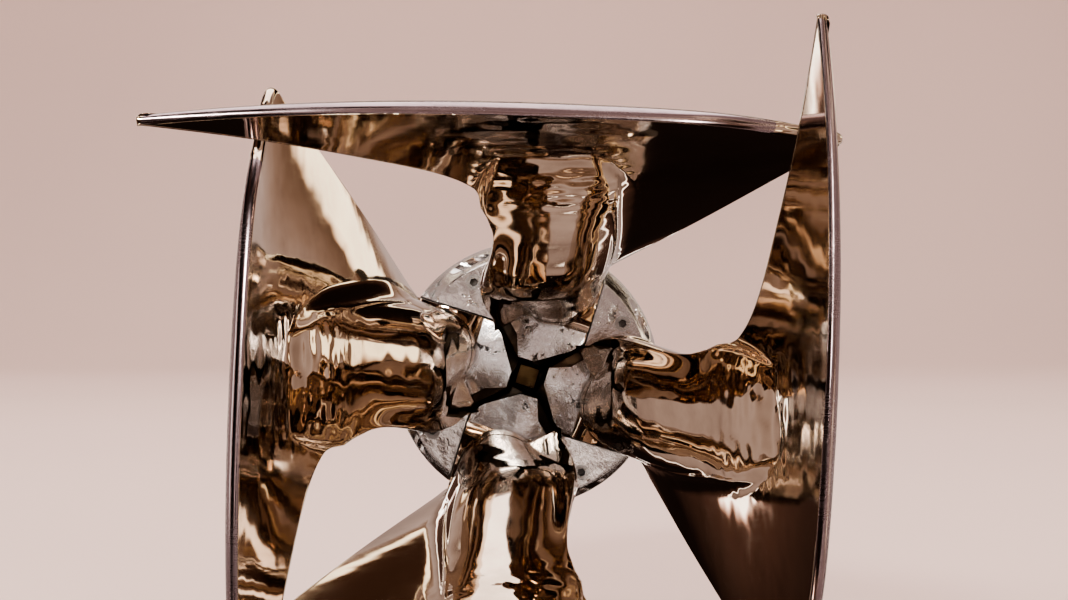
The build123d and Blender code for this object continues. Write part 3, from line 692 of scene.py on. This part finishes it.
def polished_bronze(finish):
    """Hand-polished bronze: mirror bright, with a soft waviness, fine marks and brown stain."""
    material = bpy.data.materials.new("finish_polished_bronze")
    material.use_nodes = True
    tree = material.node_tree
    shader = tree.nodes["Principled BSDF"]
    point = object_point(tree)
    marks = group_node(tree, "polish_marks", Point=point, Scale=150.0)
    corners = group_node(tree, "recess_shade", Point=point, Reach=0.004)["Shade"]
    stain = spread(tree, noise(tree, point, 26.0, 5.0, 0.6), 0.42, 0.72)
    tone = mix(tree, stain, finish.bronze[:], finish.bronze_stain[:])
    # painted shade: the bronze turns dark brown where the occlusion mask finds a corner or a gap
    deep = tuple(c * 0.14 for c in finish.bronze_stain[:3])
    tone = mix(tree, math(tree, "MULTIPLY", corners, 0.85), tone, (*deep, 1))
    tree.links.new(tone, shader.inputs["Base Color"])
    smooth = finish.bronze_roughness
    hazy = spread(tree, marks["Haze"], 0.0, 1.0, smooth, smooth + 0.05)
    rough = math(tree, "ADD", hazy, math(tree, "MULTIPLY", corners, 0.10))
    tree.links.new(rough, shader.inputs["Roughness"])
    shader.inputs["Metallic"].default_value = 1.0
    wavy = noise(tree, point, 95.0, 1.0)
    height = math(tree, "ADD", wavy, math(tree, "MULTIPLY", marks["Height"], 0.0012))
    raised = add_node(tree, "ShaderNodeBump", Height=height, Strength=1.0, Distance=0.00007)
    tree.links.new(raised.outputs[0], shader.inputs["Normal"])
    return material


def finish_material(name):
    """The material of one of the record's slots, made the first time it is asked for."""
    known = bpy.data.materials.get("finish_" + name)
    if known is not None:
        return known
    finish = bpy.context.scene.propeller_finish
    if name == "polished_bronze":
        return polished_bronze(finish)
    hub, zinc = finish.hub_metal[:3], finish.zinc[:3]
    makers = {
        "hub_metal": dict(
            colour=hub, dark=tuple(c * 0.30 for c in hub), metallic=1.0, roughness=0.14,
            spread_to=0.34, effect="machined_grain", scale=150.0, depth=0.00016, shade_reach=0.004,
            wear=0.6),
        "machined_face": dict(
            colour=finish.machined[:3], dark=(0.05, 0.045, 0.045), metallic=1.0, roughness=0.26,
            spread_to=0.60, effect="machined_grain", scale=260.0, depth=0.00024, shade_reach=0.0022,
            wear=0.5),
        "tip_edge": dict(
            colour=(0.32, 0.25, 0.26), dark=(0.24, 0.18, 0.19), metallic=1.0, roughness=0.16,
            spread_to=0.30, effect="polish_marks", scale=200.0, depth=0.000004, shade_reach=0.002,
            wear=0.5),
        "greased_teeth": dict(
            colour=(0.075, 0.055, 0.04), dark=(0.02, 0.015, 0.012), metallic=1.0, roughness=0.32,
            spread_to=0.5, effect="cast_grain", scale=400.0, depth=0.00002, shade_reach=0.004, wear=0.1),
        "nut_bronze": dict(
            colour=(0.62, 0.42, 0.20), dark=(0.34, 0.20, 0.09), metallic=1.0, roughness=0.24,
            spread_to=0.45, effect="polish_marks", scale=260.0, depth=0.000004, wear=0.5),
        "zinc": dict(
            colour=zinc, dark=tuple(c * 0.6 for c in zinc), metallic=0.85, roughness=0.48,
            spread_to=0.68, effect="cast_grain", scale=700.0, depth=0.00004, wear=0.4),
        "pin_steel": dict(
            colour=(0.63, 0.62, 0.61), dark=(0.36, 0.35, 0.35), metallic=1.0, roughness=0.16,
            spread_to=0.30, effect="polish_marks", scale=320.0, depth=0.000003, wear=0.5),
        "screw_steel": dict(
            colour=(0.55, 0.54, 0.53), dark=(0.28, 0.27, 0.27), metallic=1.0, roughness=0.20,
            spread_to=0.38, effect="polish_marks", scale=420.0, depth=0.000003, shade_reach=0.002,
            wear=0.7),
        "buffer_rubber": dict(
            colour=(0.018, 0.018, 0.019), dark=(0.03, 0.03, 0.031), metallic=0.0, roughness=0.62,
            spread_to=0.8, effect="cast_grain", scale=1100.0, depth=0.00004),
        "composite": dict(
            colour=(0.028, 0.029, 0.032), dark=(0.05, 0.05, 0.052), metallic=0.0, roughness=0.38,
            spread_to=0.55, effect="cast_grain", scale=900.0, depth=0.00003, coat=0.15),
        "bearing_plastic": dict(
            colour=(0.72, 0.69, 0.60), dark=(0.58, 0.54, 0.44), metallic=0.0, roughness=0.35,
            spread_to=0.5, effect="cast_grain", scale=800.0, depth=0.00001),
    }
    return surface(name, **makers[name])


def finish_node(node, material, bevel):
    """Gives a CAD node its material and rounds its edges."""
    piece = NODES[node]
    piece.data.materials.clear()
    piece.data.materials.append(finish_material(material))
    for polygon in piece.data.polygons:
        polygon.material_index = 0
    round_edges(piece, bevel)


def round_edges(piece, bevel):
    """Welds split corners and puts a small round on sharp edges."""
    welded = piece.modifiers.new("weld", "WELD")
    welded.merge_threshold = bpy.context.scene.propeller_blades.weld
    rounded = piece.modifiers.new("round", "BEVEL")
    rounded.width = bevel
    rounded.segments = 2
    rounded.limit_method = "ANGLE"
    rounded.angle_limit = BEVEL_ANGLE
    rounded.harden_normals = True


# ---------------------------------------------------------------- settings
class BladeSettings(bpy.types.PropertyGroup):
    """Form of the blades."""
    edge_radius: bpy.props.FloatProperty(
        name="Edge radius", description="Round of the leading and trailing edges",
        default=1.2 * MM, min=0.0003, max=0.003, subtype="DISTANCE", unit="LENGTH")
    tip_bevel: bpy.props.FloatProperty(
        name="Tip bevel", description="How far the tip edge is rounded over outside",
        default=6 * MM, min=0.001, max=0.02, subtype="DISTANCE", unit="LENGTH")
    neck_wave: bpy.props.FloatProperty(
        name="Neck wave", description="Height of the hand-polished waves on the neck",
        default=0.08 * MM, min=0.0, max=0.001, subtype="DISTANCE", unit="LENGTH")
    neck_wavelength: bpy.props.FloatProperty(
        name="Neck wavelength", description="Length of the waves on the neck", default=13 * MM,
        min=0.004, max=0.06, subtype="DISTANCE", unit="LENGTH")
    foot_wave: bpy.props.FloatProperty(
        name="Foot wave", description="Height of the waves where neck meets plate",
        default=0.16 * MM, min=0.0, max=0.001, subtype="DISTANCE", unit="LENGTH")
    foot_wavelength: bpy.props.FloatProperty(
        name="Foot wavelength", description="Length of the waves at the foot", default=6 * MM,
        min=0.003, max=0.04, subtype="DISTANCE", unit="LENGTH")
    plate_wave: bpy.props.FloatProperty(
        name="Plate wave", description="Height of the waves on the plate", default=0.03 * MM,
        min=0.0, max=0.001, subtype="DISTANCE", unit="LENGTH")
    plate_wavelength: bpy.props.FloatProperty(
        name="Plate wavelength", description="Length of the waves on the plate", default=42 * MM,
        min=0.01, max=0.2, subtype="DISTANCE", unit="LENGTH")
    weld: bpy.props.FloatProperty(
        name="Weld distance", description="Corners closer than this are joined",
        default=0.005 * MM, min=1e-7, max=0.001, precision=6, subtype="DISTANCE", unit="LENGTH")


class FinishSettings(bpy.types.PropertyGroup):
    """Colours of the metals."""
    bronze: bpy.props.FloatVectorProperty(
        name="Bronze", description="Colour of the polished bronze", size=4,
        default=(0.57, 0.46, 0.36, 1), min=0, max=1, subtype="COLOR")
    bronze_stain: bpy.props.FloatVectorProperty(
        name="Bronze stain", description="Colour where the bronze has turned", size=4,
        default=(0.40, 0.31, 0.24, 1), min=0, max=1, subtype="COLOR")
    bronze_roughness: bpy.props.FloatProperty(
        name="Bronze roughness", description="Roughness of the polished bronze", default=0.035,
        min=0.0, max=1.0, subtype="FACTOR")
    hub_metal: bpy.props.FloatVectorProperty(
        name="Hub metal", description="Colour of the hub", size=4, default=(0.54, 0.51, 0.50, 1),
        min=0, max=1, subtype="COLOR")
    machined: bpy.props.FloatVectorProperty(
        name="Machined faces", description="Colour of the bare cut faces", size=4,
        default=(0.78, 0.76, 0.77, 1), min=0, max=1, subtype="COLOR")
    zinc: bpy.props.FloatVectorProperty(
        name="Zinc", description="Colour of the anode", size=4, default=(0.42, 0.43, 0.44, 1),
        min=0, max=1, subtype="COLOR")


class StudioSettings(bpy.types.PropertyGroup):
    """Floor, light and camera."""
    backdrop: bpy.props.FloatVectorProperty(
        name="Backdrop", description="Colour of the floor and wall", size=4,
        default=(0.82, 0.615, 0.555, 1), min=0, max=1, subtype="COLOR")
    room_strength: bpy.props.FloatProperty(
        name="Room strength", description="Brightness of the room in reflections", default=6.0,
        min=0, max=50)
    key_power: bpy.props.FloatProperty(
        name="Key power", description="Power of the main lamp", default=16.0, min=0, max=200,
        subtype="POWER", unit="POWER")
    camera_lens: bpy.props.FloatProperty(
        name="Lens", description="Focal length in millimetres", default=59.9, min=10, max=200)
    camera_back: bpy.props.FloatProperty(
        name="Camera distance", description="From the pivot pins to the camera", default=0.59,
        min=0.1, max=5, subtype="DISTANCE", unit="LENGTH")


# ---------------------------------------------------------------- the stage
def stage_floor(studio):
    """A floor that sweeps up into a far wall."""
    low = CAD_BOX[0][2] - 0.0005
    near, far, wide, high, bend = -4.0, 3.6, 6.0, 5.0, 1.2
    line = [(near, low), (-1.0, low), (far - bend, low)]
    line += [(far - bend + bend * sin(a), low + bend * (1 - cos(a)))
             for a in np.linspace(0.05, pi / 2, 24)]
    line.append((far, low + high))
    points = [(x, y, z) for y, z in line for x in (-wide, wide)]
    quads = [(2 * i, 2 * i + 1, 2 * i + 3, 2 * i + 2) for i in range(len(line) - 1)]
    mesh = bpy.data.meshes.new("backdrop")
    mesh.from_pydata(points, [], quads)
    mesh.shade_smooth()
    piece = bpy.data.objects.new("backdrop", mesh)
    bpy.context.scene.collection.objects.link(piece)
    material = bpy.data.materials.new("backdrop_paper")
    material.use_nodes = True
    tree = material.node_tree
    shader = tree.nodes["Principled BSDF"]
    shade = spread(tree, noise(tree, object_point(tree), 0.8, 2.0), 0.3, 0.7)
    pale = studio.backdrop[:]
    dim = tuple(c * 0.94 for c in pale[:3])
    tone = mix(tree, shade, pale, (*dim, 1))
    tree.links.new(tone, shader.inputs["Base Color"])
    tree.links.new(tone, shader.inputs["Emission Color"])
    shader.inputs["Emission Strength"].default_value = 0.22
    shader.inputs["Roughness"].default_value = 0.75
    mesh.materials.append(material)
    piece.visible_glossy = False  # mirror surfaces see the lit room instead


# The room that the mirror surfaces see: level of its pattern, colour and brightness.
ROOM = (
    (0.00, (1.00, 0.60, 0.45), 0.0010),
    (0.34, (1.00, 0.55, 0.42), 0.0030),
    (0.40, (1.00, 0.52, 0.38), 0.012),
    (0.440, (1.00, 0.52, 0.38), 0.022),
    (0.444, (1.00, 0.95, 0.88), 0.8),
    (0.452, (1.00, 0.95, 0.88), 0.8),
    (0.457, (1.00, 0.70, 0.58), 0.045),
    (0.50, (1.00, 0.76, 0.68), 0.085),
    (0.60, (1.00, 0.80, 0.74), 0.120),
    (0.645, (1.00, 0.60, 0.40), 0.035),
    (0.65, (1.00, 0.88, 0.66), 0.60),
    (0.670, (1.00, 0.88, 0.66), 0.50),
    (0.676, (1.00, 0.50, 0.30), 0.018),
    (0.74, (1.00, 0.50, 0.35), 0.003),
    (1.00, (1.00, 0.60, 0.45), 0.001),
)


def stage_world(studio):
    """A room of dark and bright shapes for reflections, and a plain pale sky behind."""
    world = bpy.data.worlds.new("studio")
    bpy.context.scene.world = world
    world.use_nodes = True
    tree = world.node_tree
    tree.nodes.clear()
    direction = tree.nodes.new("ShaderNodeTexCoord").outputs["Generated"]
    pattern = add_node(tree, "ShaderNodeTexNoise", Vector=direction, Scale=1.15, Detail=1.0,
                       Roughness=0.4, Distortion=0.3).outputs[0]
    axes = add_node(tree, "ShaderNodeSeparateXYZ", Vector=direction).outputs
    place = pattern
    for axis, pull in (("X", 0.09), ("Y", 0.02), ("Z", 0.04)):
        place = math(tree, "ADD", place, math(tree, "MULTIPLY", axes[axis], pull))
    place = math(tree, "SUBTRACT", place, 0.02)
    tints = tree.nodes.new("ShaderNodeValToRGB")
    powers = tree.nodes.new("ShaderNodeValToRGB")
    greys = [(row[2],) * 3 for row in ROOM]
    for ramp, colours in ((tints, [row[1] for row in ROOM]), (powers, greys)):
        stops = ramp.color_ramp.elements
        stops.remove(stops[1])
        stops[0].position = ROOM[0][0]
        stops[0].color = (*colours[0], 1)
        for row, colour in zip(ROOM[1:], colours[1:]):
            stops.new(row[0]).color = (*colour, 1)
        tree.links.new(place, ramp.inputs[0])
    power = math(tree, "MULTIPLY", powers.outputs[0], studio.room_strength)
    lit = add_node(tree, "ShaderNodeBackground", Color=tints.outputs[0], Strength=power)
    seen = add_node(tree, "ShaderNodeBackground", Color=studio.backdrop[:], Strength=0.95)
    chosen = tree.nodes.new("ShaderNodeMixShader")
    tree.links.new(tree.nodes.new("ShaderNodeLightPath").outputs["Is Camera Ray"], chosen.inputs[0])
    tree.links.new(lit.outputs[0], chosen.inputs[1])
    tree.links.new(seen.outputs[0], chosen.inputs[2])
    result = tree.nodes.new("ShaderNodeOutputWorld")
    tree.links.new(chosen.outputs[0], result.inputs[0])


CAMERA_ASIDE = -0.005
CAMERA_HEIGHT = 0.0253
CAMERA_TURN = radians(-0.7)

# Name, place, what it points at, size, share of the key's power and colour.
LAMPS = (
    ("key", (-0.45, -1.25, 0.75), (0, -0.15, 0), (0.30, 0.20), 1.0, (1.0, 0.96, 0.90)),
    ("low_fill", (0.75, -1.0, -0.15), (0, -0.15, 0), (0.08, 0.5), 0.35, (1.0, 0.93, 0.84)),
    ("ceiling", (0.0, 0.6, 2.2), (0, 0.4, 0), (2.2, 2.2), 3.2, (1.0, 0.95, 0.92)),
)


def stage_lamp(name, place, target, size, power, colour):
    """A rectangular lamp that points at a target."""
    lamp = bpy.data.lights.new(name, "AREA")
    lamp.shape = "RECTANGLE"
    lamp.size, lamp.size_y = size
    lamp.energy = power
    lamp.color = colour
    holder = bpy.data.objects.new(name, lamp)
    bpy.context.scene.collection.objects.link(holder)
    holder.location = place
    holder.rotation_euler = (Vector(target) - Vector(place)).to_track_quat("-Z", "Y").to_euler()


def stage_camera(studio):
    """The camera aft of the propeller, nearly on the shaft's line."""
    pins = Vector(JOINTS["blade_1"]["pos_m"]).y
    data = bpy.data.cameras.new("view")
    data.lens = studio.camera_lens
    data.sensor_width = 36
    holder = bpy.data.objects.new("view", data)
    bpy.context.scene.collection.objects.link(holder)
    holder.location = (CAMERA_ASIDE, pins - studio.camera_back, CAMERA_HEIGHT)
    holder.rotation_euler = (pi / 2, 0, CAMERA_TURN)
    bpy.context.scene.camera = holder


# ---------------------------------------------------------------- operators
class PROPELLER_OT_blades(bpy.types.Operator):
    """Builds the plates, necks and geared roots of the four blades"""
    bl_idname = "propeller.blades"
    bl_label = "Blades"
    bl_options = {"REGISTER", "UNDO"}

    def execute(self, context):
        scene = context.scene
        settings = scene.propeller_blades
        form, root = blade_mesh(settings), root_mesh(settings)
        form.materials.append(finish_material("polished_bronze"))
        form.materials.append(finish_material("tip_edge"))
        root.materials.append(finish_material("polished_bronze"))
        root.materials.append(finish_material("machined_face"))
        root.materials.append(finish_material("greased_teeth"))
        for number in range(1, BLADES + 1):
            body = f"blade_{number}"
            for mesh, part in ((form, "form"), (root, "root")):
                placed = mesh.copy()
                placed.transform(blade_matrix(body))
                piece = bpy.data.objects.new(f"{body}_{part}", placed)
                scene.collection.objects.link(piece)
                if part == "root":
                    round_edges(piece, 0.3 * MM)
                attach(piece, body)
                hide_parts(body)
        return {"FINISHED"}


class PROPELLER_OT_bushes(bpy.types.Operator):
    """Finishes the bushes that are pressed into the blades"""
    bl_idname = "propeller.bushes"
    bl_label = "Blade bushes"
    bl_options = {"REGISTER", "UNDO"}

    def execute(self, context):
        for number in range(1, BLADES + 1):
            finish_node(f"blade_bush_{number}", "bearing_plastic", 0.15 * MM)
        return {"FINISHED"}


class PROPELLER_OT_hub(bpy.types.Operator):
    """Finishes the hub body"""
    bl_idname = "propeller.hub"
    bl_label = "Hub body"
    bl_options = {"REGISTER", "UNDO"}

    def execute(self, context):
        finish_node("hub_body", "hub_metal", 0.4 * MM)
        return {"FINISHED"}


class PROPELLER_OT_pins(bpy.types.Operator):
    """Finishes the pivot pins"""
    bl_idname = "propeller.pins"
    bl_label = "Pivot pins"
    bl_options = {"REGISTER", "UNDO"}

    def execute(self, context):
        for number in range(1, BLADES + 1):
            finish_node(f"pivot_pin_{number}", "pin_steel", 0.2 * MM)
        return {"FINISHED"}


class PROPELLER_OT_screws(bpy.types.Operator):
    """Finishes the screws"""
    bl_idname = "propeller.screws"
    bl_label = "Screws"
    bl_options = {"REGISTER", "UNDO"}

    def execute(self, context):
        names = ["sleeve_screws", "anode_screws", "nut_lock_screw"]
        names += [f"pin_lock_screw_{number}" for number in range(1, BLADES + 1)]
        for name in names:
            finish_node(name, "screw_steel", 0.15 * MM)
        return {"FINISHED"}


class PROPELLER_OT_drive(bpy.types.Operator):
    """Finishes the splined sleeve, the washer and the shaft nut"""
    bl_idname = "propeller.drive"
    bl_label = "Sleeve, washer and nut"
    bl_options = {"REGISTER", "UNDO"}

    def execute(self, context):
        finish_node("drive_sleeve", "composite", 0.2 * MM)
        finish_node("thrust_washer", "nut_bronze", 0.2 * MM)
        finish_node("shaft_nut", "nut_bronze", 0.4 * MM)
        return {"FINISHED"}


class PROPELLER_OT_buffers(bpy.types.Operator):
    """Finishes the rubber stop buffers"""
    bl_idname = "propeller.buffers"
    bl_label = "Stop buffers"
    bl_options = {"REGISTER", "UNDO"}

    def execute(self, context):
        for number in range(1, BLADES + 1):
            finish_node(f"stop_buffer_{number}", "buffer_rubber", 0.4 * MM)
        return {"FINISHED"}


class PROPELLER_OT_anode(bpy.types.Operator):
    """Finishes the segments of the zinc anode"""
    bl_idname = "propeller.anode"
    bl_label = "Anode"
    bl_options = {"REGISTER", "UNDO"}

    def execute(self, context):
        for name in sorted(NODES):
            if name.startswith("anode_") and name != "anode_screws":
                finish_node(name, "zinc", 0.5 * MM)
        return {"FINISHED"}


class PROPELLER_OT_stage(bpy.types.Operator):
    """Builds the floor, the lights and the camera"""
    bl_idname = "propeller.stage"
    bl_label = "Stage"
    bl_options = {"REGISTER", "UNDO"}

    def execute(self, context):
        scene = context.scene
        studio = scene.propeller_studio
        stage_floor(studio)
        stage_world(studio)
        for name, place, target, size, share, colour in LAMPS:
            stage_lamp(name, place, target, size, studio.key_power * share, colour)
        stage_camera(studio)
        scene.view_settings.look = "AgX - Medium High Contrast"
        return {"FINISHED"}


class PROPELLER_PT_panel(bpy.types.Panel):
    """Lists the steps that finish the propeller"""
    bl_idname = "PROPELLER_PT_panel"
    bl_label = "Folding propeller"
    bl_space_type = "VIEW_3D"
    bl_region_type = "UI"
    bl_category = "Propeller"

    def draw(self, context):
        for settings in ("propeller_blades", "propeller_finish", "propeller_studio"):
            group = getattr(context.scene, settings)
            box = self.layout.box()
            for name in group.__annotations__:
                box.prop(group, name)
        for operator in OPERATORS:
            self.layout.operator(operator.bl_idname)


SETTINGS = (("propeller_blades", BladeSettings), ("propeller_finish", FinishSettings),
            ("propeller_studio", StudioSettings))
OPERATORS = (
    PROPELLER_OT_blades, PROPELLER_OT_bushes, PROPELLER_OT_hub, PROPELLER_OT_pins,
    PROPELLER_OT_screws, PROPELLER_OT_drive, PROPELLER_OT_buffers, PROPELLER_OT_anode,
    PROPELLER_OT_stage,
)


def register():
    for name, group in SETTINGS:
        bpy.utils.register_class(group)
        setattr(bpy.types.Scene, name, bpy.props.PointerProperty(type=group))
    for kind in (*OPERATORS, PROPELLER_PT_panel):
        bpy.utils.register_class(kind)


def unregister():
    for kind in (PROPELLER_PT_panel, *reversed(OPERATORS)):
        bpy.utils.unregister_class(kind)
    for name, group in reversed(SETTINGS):
        delattr(bpy.types.Scene, name)
        bpy.utils.unregister_class(group)


def main():
    register()
    for operator in OPERATORS:
        family, name = operator.bl_idname.split(".")
        getattr(getattr(bpy.ops, family), name)()


if __name__ == "__main__":
    main()
